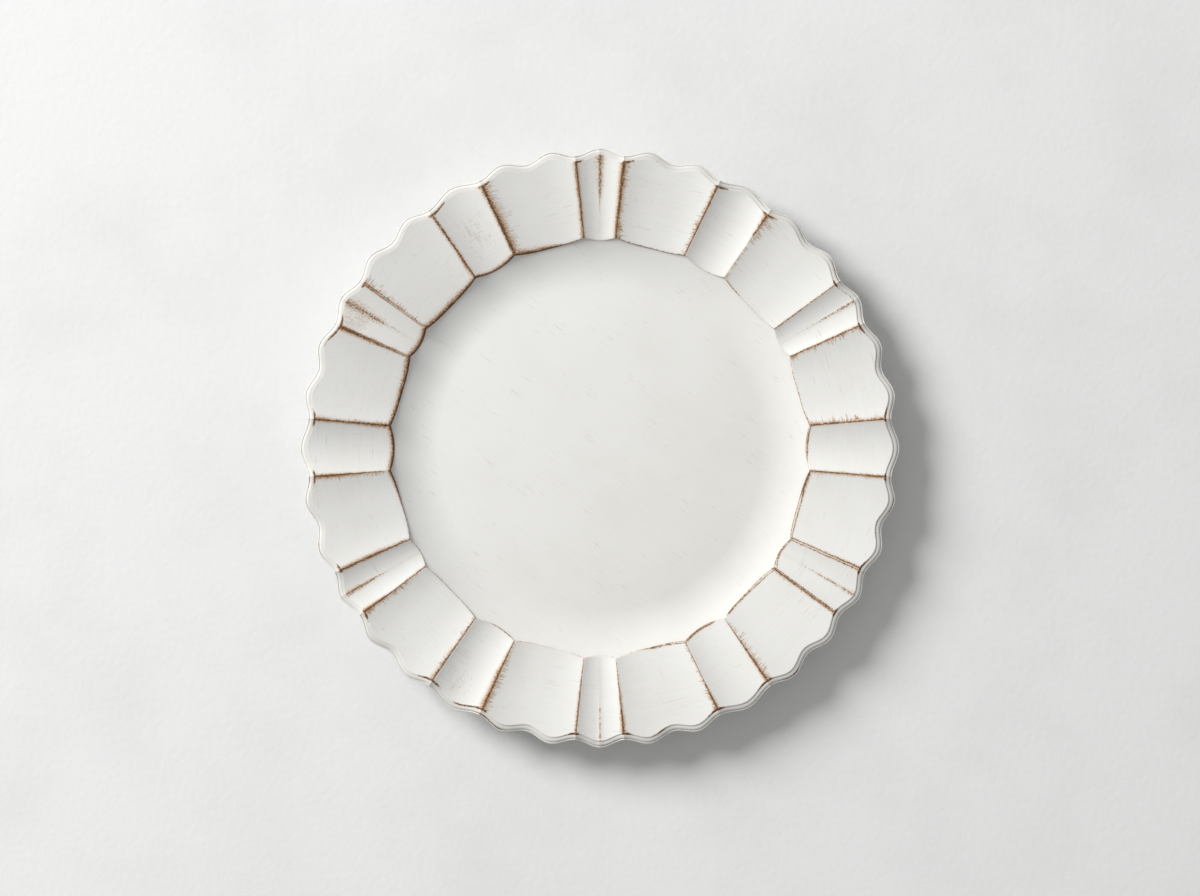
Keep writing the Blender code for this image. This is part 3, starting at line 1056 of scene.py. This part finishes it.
def edge_wear(points, to_joint, to_edge, dash):
    """Distance to the quirk or to the groove under the bead, and how dark the nearer one is drawn: bare
    wood on a few rubbed stretches, plus painted shade that grows on the side away from the light and fades
    on the lit side.
    """
    # lit_share is 1 on the side facing the light, where the edge lines are painted fainter; shade_share is
    # 1 on the far side, where they are painted darker as shade
    lit_share = np.clip(LIT_SPREAD * facing(points, LIT_SIDE), 0, 1)
    shade_share = np.clip(facing(points, SHADED_SIDE), 0, 1)
    turned = np.clip(QUIRK_TAPER * (1 - to_joint / dash), 0, QUIRK_MOST)
    rubbed = (QUIRK_RUBBED + QUIRK_SHADE_GAIN * shade_share) * browned(points, QUIRK_PHASE) * (1 - QUIRK_LIT_FADE * lit_share)
    in_quirk = np.maximum(turned, rubbed) + QUIRK_LEAST
    rubbed = GROOVE_RUBBED * browned(points, GROOVE_PHASE) * (1 - GROOVE_LIT_FADE * lit_share)
    # GROOVE_SHADE_LEAST and the shade_share term draw a thin line of painted shade in the groove all round
    in_groove = rubbed + GROOVE_SHADE_LEAST + GROOVE_SHADE_GAIN * shade_share
    inset = QUIRK_WIDTH / MM / 4
    to_quirk = np.maximum(np.abs(to_edge + inset) - inset, 0)
    to_groove = np.abs(to_edge + GROOVE_PLACE / MM)
    return np.minimum(to_quirk, to_groove), np.where(to_groove < to_quirk, in_groove, in_quirk)


def add_crease(line, crease_row, u, to_edge):
    """The wear along a flute's joints, with that of its crease in the middle."""
    at_edge, reach, solid = crease_row
    to_crease = abs(u) * line["to_joint"] / np.maximum(1 - abs(u), THIN)
    crease = dict(
        to_joint=to_crease,
        bare_joint=at_edge * np.clip(1 - to_edge / reach, 0, 1),
        land_joint=0.0,
        hold_joint=solid * np.clip(2 - 2 * to_edge / reach, CREASE_FAINT, 1),
        fray=FULL_FRAY,
        ticks=0.0,
    )
    nearer = to_crease < line["to_joint"]
    return {name: np.where(nearer, crease[name], line[name]) for name in line}


# The angle printed is the lit side of the edge, where its painted shade is weakest
print("the edge is cleanest at", round(math.degrees(LIT_SIDE)), "degrees")

# %% Write the wear of the staves
NEVER = 100.0
PLAIN_BARE = 0.1
LEAST_BARE = 0.02
BEAD_CLEAR = 0.5
BEAD_DULL = 0.45
WELL_DARKER_WOOD = 0.05
DARKER_WOOD_REACH = 4.0
EDGE_SOLID = 0.4
EDGE_LOSS = 1.15
SEED_STEP = 3.7
PLAIN_WEAR = (
    dict.fromkeys(WEAR_ATTRIBUTES["gaps"], NEVER)
    | dict.fromkeys(WEAR_ATTRIBUTES["bare"], PLAIN_BARE)
    | dict.fromkeys(("land_joint", "land_well", "ticks", "smudge", "hold_edge"), 0.0)
    | dict.fromkeys(("hold_joint", "hold_well"), 1.0)
)


def write_wear(mesh, points, turn, seed, **wear):
    """The attributes of the paint, with brush strokes that are turned from +X, clockwise."""
    x, y = points[:, 0] / MM, points[:, 1] / MM
    place = dict(
        x=x * math.cos(turn) - y * math.sin(turn),
        y=x * math.sin(turn) + y * math.cos(turn),
        seed=seed,
    )
    values = PLAIN_WEAR | wear | place
    for name, parts in WEAR_ATTRIBUTES.items():
        write_vectors(mesh, name, *(values[part] for part in parts))


def write_stave_wear(mesh, number, stave):
    points = read_points(mesh)
    u = read_numbers(mesh, "across")
    to_joint, to_well, to_edge = (read_numbers(mesh, name) / MM for name in WEAR_ATTRIBUTES["gaps"])
    along = np.clip(along_rim(stave.sizes, np.hypot(points[:, 0], points[:, 1])), 0, 1)
    land, bare, ticks, dash = joint_wear(number, u, along)
    to_line, bare_edge = edge_wear(points, to_joint, to_edge, dash)
    on_panel = stave.kind == "rim_panel"
    line = dict(
        to_joint=to_joint,
        bare_joint=bare,
        land_joint=land * on_panel,
        hold_joint=held(bare),
        fray=np.full(len(points), FULL_FRAY if on_panel else FLUTE_FRAY),
        ticks=ticks,
    )
    if stave.kind == "ribbed_flute":
        line = add_crease(line, CREASE_WEAR[stave.hour // 2], u, to_edge)
    on_top = np.clip(1 + to_edge / BEAD_CLEAR, 0, 1)
    for name in ("bare_joint", "land_joint", "ticks"):
        line[name] = line[name] * on_top
    line["bare_joint"] = np.maximum(line["bare_joint"], LEAST_BARE)
    land_well, bare_well = well_wear(points)
    write_wear(
        mesh,
        points,
        stave.middle,
        number * SEED_STEP,
        **line,
        to_well=to_well,
        to_edge=to_line,
        bare_well=bare_well,
        bare_edge=bare_edge,
        land_well=land_well,
        hold_well=held(bare_well),
        # Darker bare wood where the well's wear is heaviest
        soot=WELL_DARKER_WOOD * np.clip(2 * bare_well - 1, 0, 1) * (to_well < DARKER_WOOD_REACH),
        # Tan smudges, and a darker tone of the paint all round on the bead and lip
        smudge=smudge_strength(points) - (1 - on_top) * BEAD_DULL,
        hold_edge=np.clip(bare_edge / EDGE_SOLID, 0, 1) - EDGE_LOSS,
    )


def make_staves():
    triangles = 0
    for number, stave in enumerate(STAVES):
        values = vars(stave.sizes) | SHOP
        mesh = run_tree(stave.node, section_mesh(), STAVE_TREE, RIM_PAINT, values)
        write_stave_wear(mesh, number, stave)
        add_piece("painted_" + stave.node, mesh, stave.node)
        mesh.calc_loop_triangles()
        triangles += len(mesh.loop_triangles)
    return triangles


print("staves made of", make_staves(), "triangles")

# %% [markdown]
# ## The dish and the ring
#
# Both are lofts: a section is worked out for hundreds of stations round the plate, and a skin is
# drawn over them. A turned shape would do for a plain dish, but the edge of this one follows the
# bowed ends of the staves, and the ring follows the scallops. The stations are spaced stave by
# stave, so that the dish meets each stave exactly. The dish is closed by a point on its axis above
# and below, and the ring by the ends of its own section.

# %% Stations and skins
STATIONS_PER_STAVE = 20


def stations_round():
    """Each station's stave and its place across it."""
    steps = np.linspace(-1, 1, STATIONS_PER_STAVE, endpoint=False)
    return [(stave, u) for stave in STAVES for u in steps]


def station_angle(stave, u, r):
    first, last = span(stave.sizes, r)
    return first + (last - first) * (u + 1) / 2


def loft_round(name, sections, angles, closed):
    """A skin over sections, each a list of (radius, height). Open sections end on the axis."""
    sections = np.array(sections)
    count, length = sections.shape[:2]
    radius, height = sections[..., 0], sections[..., 1]
    angles = np.array(angles)[:, None]
    points = np.stack((radius * np.sin(angles), radius * np.cos(angles), height), axis=-1)
    vertices = points.reshape(-1, 3).tolist()
    faces = []
    for i in range(count):
        j = (i + 1) % count
        for k in range(length if closed else length - 1):
            m = (k + 1) % length
            faces.append((i * length + k, i * length + m, j * length + m, j * length + k))
    if not closed:
        for k, flip in ((0, False), (length - 1, True)):
            pole = len(vertices)
            vertices.append((0.0, 0.0, float(height[0, k])))
            for i in range(count):
                j = (i + 1) % count
                ends = (j * length + k, i * length + k) if flip else (i * length + k, j * length + k)
                faces.append((*ends, pole))
    mesh = bpy.data.meshes.new(name)
    mesh.from_pydata(vertices, [], faces)
    return mesh


# %% The dish
SEAT_WIDTH = 6.6 * MM
LAP_WIDTH = 5.0 * MM
BACKING = 2.6 * MM
FOOT_MARGIN = 3.0 * MM
PAD_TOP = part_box("felt_pad_1")[1][2]
PAD_GLUE = 0.05 * MM
BASE_HEIGHT = PAD_TOP + PAD_GLUE
FLOOR_RINGS = 14
COVE_RINGS = 34
COVE_CROWDING = 0.4
# This turn sets the dish's brush strokes, and also the way its painted light falloff runs: darker towards
# the lower right
BRUSH_TURN = math.radians(37)
DISH_SEED = 91.0
DISH_SHARE = 0.15
DISH_LEAST = 0.03
DISH_DARKER_WOOD = 0.2


def dish_section(stave, u):
    s = stave.sizes
    edge = well_edge(s, u)
    lap = s.well_radius + SEAT_WIDTH
    shelf = lap + LAP_WIDTH
    foot = s.floor_radius + FOOT_MARGIN
    section = [(s.floor_radius * i / FLOOR_RINGS, s.floor_height) for i in range(1, FLOOR_RINGS)]
    for i in range(COVE_RINGS + 1):
        share = i / COVE_RINGS
        share += (share - share**2) * COVE_CROWDING
        r = s.floor_radius + (edge - s.floor_radius) * share
        section.append((r, cove_height(s, r)))
    section += [(edge, seat_height(s, edge)), (lap, seat_height(s, lap))]
    section += [(lap, seat_height(s, lap) - BACKING / 2), (shelf, seat_height(s, shelf) - BACKING / 2)]
    section += [(shelf, seat_height(s, shelf) - BACKING), (foot, BASE_HEIGHT)]
    section += [(foot * i / FLOOR_RINGS, BASE_HEIGHT) for i in range(FLOOR_RINGS - 1, 0, -1)]
    return section


def make_dish():
    stations = stations_round()
    sections = [dish_section(stave, u) for stave, u in stations]
    angles = [station_angle(stave, u, well_edge(stave.sizes, u)) for stave, u in stations]
    mesh = loft_round("painted_well_dish", sections, angles, closed=False)
    mesh.materials.append(WELL_PAINT)
    points = read_points(mesh)
    edges = np.array([well_edge(stave.sizes, u) for stave, u in stations])
    on_axis = (0, 0)
    edges = np.append(np.repeat(edges, len(sections[0])), on_axis)
    to_well = np.abs(edges - np.hypot(points[:, 0], points[:, 1])) / MM
    to_well[points[:, 2] < PLATE["floor_height"]] = NEVER
    bare = well_wear(points)[1]
    write_wear(
        mesh,
        points,
        BRUSH_TURN,
        DISH_SEED,
        to_well=to_well,
        bare_well=bare * DISH_SHARE + DISH_LEAST,
        hold_well=held(bare),
        fray=FLUTE_FRAY,
        soot=DISH_DARKER_WOOD,
    )
    return add_piece("painted_well_dish", mesh, "well_dish")


DISH = make_dish()
print("dish:", len(DISH.data.vertices), "vertices")

# %% The backing ring
RING_LIP_STEPS = 8
LIP_ROUNDING = 0.6 * MM
LAND_WIDTH = 1.0 * MM
LAP_CLEAR = 1.0 * MM
RING_SEED = 57.0
RING_SHADE_LINE = 0.12
RING_BROWNED = 0.2
RING_SEAM_SHADE = 0.4


def ring_section(stave, u):
    s = stave.sizes
    lip = float(lip_radius(s, u))
    lap = s.well_radius + SEAT_WIDTH + JOINT_GAP
    shelf = lap + LAP_WIDTH
    half = BACKING / 2
    section = [(lap, seat_height(s, lap)), (lap, seat_height(s, lap) - half + JOINT_GAP)]
    section += [(shelf, seat_height(s, shelf) - half + JOINT_GAP), (shelf, seat_height(s, shelf) - BACKING)]
    low = seat_height(s, lip) - BACKING + LIP_ROUNDING
    high = seat_height(s, lip) - LIP_ROUNDING
    for i in range(RING_LIP_STEPS + 1):
        turn = math.pi * (i / RING_LIP_STEPS - 0.5)
        middle = low if i <= RING_LIP_STEPS / 2 else high
        r = lip - LIP_ROUNDING + LIP_ROUNDING * math.cos(turn)
        section.append((r, middle + LIP_ROUNDING * math.sin(turn)))
    groove = lip - s.lip_reach
    inside = groove - LAND_WIDTH
    section += [(groove, seat_height(s, groove)), (inside, seat_height(s, inside))]
    return section


def make_ring():
    stations = stations_round()
    sections = [ring_section(stave, u) for stave, u in stations]
    angles = [station_angle(stave, u, lip_radius(stave.sizes, u)) for stave, u in stations]
    mesh = loft_round("painted_backing_ring", sections, angles, closed=True)
    mesh.materials.append(LIP_PAINT)
    points = read_points(mesh)
    lips = np.repeat([float(lip_radius(stave.sizes, u)) for stave, u in stations], len(sections[0]))
    from_lip = (lips - np.hypot(points[:, 0], points[:, 1])) / MM
    upper = points[:, 2] > PLATE["well_height"] - PLATE["stave_thickness"] + LAP_CLEAR
    to_groove = np.where(upper, np.abs(from_lip - PLATE["lip_reach"] / MM), NEVER)
    # A thin dark line of painted shade runs all round the seam under the stave's lip, standing for the
    # shade in that groove, with stretches of real rubbed wear along it
    bare = RING_SHADE_LINE + RING_BROWNED * browned(points, GROOVE_PHASE)
    line = dict(to_joint=to_groove, bare_joint=bare, fray=FULL_FRAY, soot=RING_SEAM_SHADE)
    write_wear(mesh, points, 0.0, RING_SEED, **line)
    return add_piece("painted_backing_ring", mesh, "backing_ring")


RING = make_ring()
print("ring:", len(RING.data.vertices), "vertices")

# %% [markdown]
# ## Felt pads
#
# Four round felt pads keep the wood off the table. Felt is a mat of loose wool, so a smooth disc
# would look like rubber. The pad is a round disc with a soft rim, and a second node tree strews
# short bent fibres all over it, each turned its own way by a fixed seed.

# %% Felt and its fibres
FELT_DARK = (0.085, 0.060, 0.042)
FELT_LIGHT = (0.20, 0.15, 0.11)
FELT_STOPS = ((0.3, FELT_DARK), (0.7, FELT_LIGHT))
FELT_SHEEN = dict(Specular_IOR_Level=0.2, Sheen_Weight=0.35, Sheen_Roughness=0.6)
FELT_ROUGHNESS = 0.82
MAT_SHARE = 0.6
MAT_ROUGHER = 0.15
MAT_RELIEF = 0.25
FIBRE_STEPS = 4
FIBRE_SIDES = 3
FIBRE_LENGTH = 1.1 * MM
FIBRE_RADIUS = 0.03 * MM
FIBRE_STAND = 0.31 * MM
FIBRES_PER_AREA = 900_000.0
FIBRE_BEND = 0.3
FIBRE_LIFT = 0.12
FIBRE_TILT = 0.15
MAT_CELLS = 900.0
TUFT_CELLS = 220.0
PAD_SIDES = 64
PAD_RINGS = 8
PAD_ROUND = 6
PAD_SOFTNESS = 0.45 * MM


def felt():
    material, shader = start_material("felt_matted", **FELT_SHEEN)
    tree = material.node_tree
    place = tree.nodes.new("ShaderNodeTexCoord").outputs["Object"]
    x, y, z = separate(Field(place))
    mat = noise(*(axis * MAT_CELLS for axis in (x, y, z)), detail=5.0, roughness=0.7)
    tufts = noise(*(axis * TUFT_CELLS for axis in (x, y, z)), detail=2.0)
    tone = mat * MAT_SHARE + tufts * (1 - MAT_SHARE)
    plug(colour_ramp(tone, *FELT_STOPS), shader.inputs["Base Color"])
    plug(mat * MAT_ROUGHER + FELT_ROUGHNESS, shader.inputs["Roughness"])
    add_bump(shader, mat * MAT_RELIEF)
    return material


def fibre_tree():
    tree, start, s = start_tree("felt_fibres", ["density", "length", "radius", "seed"])
    pad = Field(start.outputs["Geometry"])
    strewn = add_node(tree, "GeometryNodeDistributePointsOnFaces", Mesh=pad, Density=s.density, Seed=s.seed)
    path = tree.nodes.new("GeometryNodeCurveQuadraticBezier")
    plug(FIBRE_STEPS, path.inputs["Resolution"])
    plug(combine(tree, s.length * -0.5, 0.0, 0.0), path.inputs["Start"])
    plug(combine(tree, 0.0, s.length * FIBRE_BEND, s.length * FIBRE_LIFT), path.inputs["Middle"])
    plug(combine(tree, s.length * 0.5, 0.0, 0.0), path.inputs["End"])
    ring = add_node(tree, "GeometryNodeCurvePrimitiveCircle", Resolution=FIBRE_SIDES, Radius=s.radius)
    fibre = add_node(tree, "GeometryNodeCurveToMesh", Curve=Field(path.outputs["Curve"]))
    plug(Field(ring.outputs["Curve"]), fibre.inputs["Profile Curve"])
    plug(True, fibre.inputs["Fill Caps"])
    turned = tree.nodes.new("FunctionNodeRotateRotation")
    turned.rotation_space = "LOCAL"
    turn = tree.nodes.new("FunctionNodeRandomValue")
    turn.data_type = "FLOAT_VECTOR"
    plug((-FIBRE_TILT, -FIBRE_TILT, 0.0), turn.inputs[0])
    plug((FIBRE_TILT, FIBRE_TILT, 2 * math.pi), turn.inputs[1])
    plug(s.seed, turn.inputs["Seed"])
    plug(Field(strewn.outputs["Rotation"]), turned.inputs["Rotation"])
    euler = add_node(tree, "FunctionNodeEulerToRotation", Euler=Field(turn.outputs[0]))
    plug(Field(euler.outputs[0]), turned.inputs["Rotate By"])
    placed = add_node(tree, "GeometryNodeInstanceOnPoints", Points=Field(strewn.outputs["Points"]))
    plug(Field(fibre.outputs["Mesh"]), placed.inputs["Instance"])
    plug(Field(turned.outputs[0]), placed.inputs["Rotation"])
    joined = tree.nodes.new("GeometryNodeJoinGeometry")
    plug(pad, joined.inputs["Geometry"])
    plug(Field(placed.outputs["Instances"]), joined.inputs["Geometry"])
    end_tree(tree, start, Field(joined.outputs["Geometry"]))
    return tree


def pad_mesh(low, high):
    """A disc with a soft rim, set in by as much as the fibres stand out."""
    radius = (high[0] - low[0]) / 2 - FIBRE_STAND
    bottom, top = low[2] + FIBRE_STAND, high[2] - FIBRE_RADIUS
    soft = [(radius * i / PAD_RINGS, bottom) for i in range(1, PAD_RINGS)]
    for i in range(PAD_ROUND + 1):
        turn = math.pi / 2 * i / PAD_ROUND
        inset, rise = PAD_SOFTNESS * (1 - math.sin(turn)), PAD_SOFTNESS * (1 - math.cos(turn))
        soft.append((radius - inset, bottom + rise))
    soft += [(radius, top - PAD_SOFTNESS / 2), (radius - PAD_SOFTNESS / 2, top)]
    soft += [(radius * i / PAD_RINGS, top) for i in range(PAD_RINGS - 1, 0, -1)]
    angles = -np.linspace(0, 2 * math.pi, PAD_SIDES, endpoint=False)
    mesh = loft_round("pad", [soft] * PAD_SIDES, angles, closed=False)
    points = read_points(mesh)
    points[:, 0] += (low[0] + high[0]) / 2
    points[:, 1] += (low[1] + high[1]) / 2
    mesh.vertices.foreach_set("co", points.ravel())
    return mesh


def make_pads():
    material = felt()
    tree = fibre_tree()
    pads = [node for node in frame["nodes"] if node.startswith("felt_pad")]
    for number, node in enumerate(sorted(pads)):
        values = dict(density=FIBRES_PER_AREA, length=FIBRE_LENGTH, radius=FIBRE_RADIUS, seed=number)
        mesh = run_tree(node, pad_mesh(*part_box(node)), tree, material, values)
        add_piece("matted_" + node, mesh, node)
    return len(pads)


print(make_pads(), "felt pads")

# %% [markdown]
# ## Table, light and camera
#
# The plate is seen from straight above on a pale table. One large soft light stands at ten
# o'clock, about thirty degrees up, and a bright room fills the shadows by a third. The camera
# looks down from so high that the rim is hardly drawn larger than the well.

# %% Table
TABLE_PALE = (0.845, 0.845, 0.84)
TABLE_GREY = (0.785, 0.785, 0.78)
TABLE_STOPS = ((0.25, TABLE_GREY), (0.55, TABLE_PALE))
TABLE_SHINE = dict(Roughness=0.75, Specular_IOR_Level=0.2)
TABLE_SIZE = 8.0
CLOUD_CELLS = 9.0
TROWEL_CELLS = 260.0
TROWEL_RELIEF = 0.12


def make_table():
    mesh = bpy.data.meshes.new("table")
    half = TABLE_SIZE / 2
    corners = [(-half, -half, 0.0), (half, -half, 0.0), (half, half, 0.0), (-half, half, 0.0)]
    mesh.from_pydata(corners, [], [(0, 1, 2, 3)])
    material, shader = start_material("table_plaster", **TABLE_SHINE)
    place = Field(material.node_tree.nodes.new("ShaderNodeTexCoord").outputs["Object"])
    x, y, z = separate(place)
    clouds = noise(x * CLOUD_CELLS, y * CLOUD_CELLS, z, detail=6.0, roughness=0.65)
    plug(colour_ramp(clouds, *TABLE_STOPS), shader.inputs["Base Color"])
    add_bump(shader, noise(x * TROWEL_CELLS, y * TROWEL_CELLS, z, detail=3.0) * TROWEL_RELIEF)
    mesh.materials.append(material)
    table = bpy.data.objects.new("table", mesh)
    bpy.context.scene.collection.objects.link(table)
    print("table of", TABLE_SIZE, "m")


make_table()

# %% Light
LIGHT_CLOCK = math.radians(306)
LIGHT_RISE = math.radians(32.0)
LIGHT_DISTANCE = 4.0
LIGHT_SIZE = 1.9
LIGHT_POWER = 186.0
ROOM_LIGHT = 0.36


def make_light():
    lamp = bpy.data.lights.new("soft_key", "AREA")
    lamp.shape = "DISK"
    lamp.size = LIGHT_SIZE
    lamp.energy = LIGHT_POWER
    light = bpy.data.objects.new("soft_key", lamp)
    bpy.context.scene.collection.objects.link(light)
    flat = LIGHT_DISTANCE * math.cos(LIGHT_RISE)
    light.location = (
        flat * math.sin(LIGHT_CLOCK),
        flat * math.cos(LIGHT_CLOCK),
        LIGHT_DISTANCE * math.sin(LIGHT_RISE),
    )
    light.rotation_euler = (math.pi / 2 - LIGHT_RISE, 0.0, math.pi - LIGHT_CLOCK)
    world = bpy.data.worlds.new("bright_room")
    world.use_nodes = True
    sky = world.node_tree.nodes["Background"]
    sky.inputs["Color"].default_value = (1.0, 1.0, 1.0, 1.0)
    sky.inputs["Strength"].default_value = ROOM_LIGHT
    bpy.context.scene.world = world
    bpy.context.scene.view_settings.view_transform = "Standard"
    print("light of", LIGHT_SIZE, "m at", LIGHT_DISTANCE, "m")


make_light()

# %% Camera
CAMERA_HEIGHT = 1.6
FRAME_WIDTH = 0.659
SENSOR_WIDTH = 36.0


def make_camera():
    lens = bpy.data.cameras.new("overhead")
    lens.sensor_width = SENSOR_WIDTH
    lens.lens = SENSOR_WIDTH * (CAMERA_HEIGHT - CAD_BOX[1][2]) / FRAME_WIDTH
    camera = bpy.data.objects.new("overhead", lens)
    camera.location = (0.0, 0.0, CAMERA_HEIGHT)
    bpy.context.scene.collection.objects.link(camera)
    bpy.context.scene.camera = camera
    print("lens of", round(lens.lens, 1), "mm at", CAMERA_HEIGHT, "m")


make_camera()

# %% [markdown]
# ## The measured box
#
# The dressed plate has to stay inside the measured box.
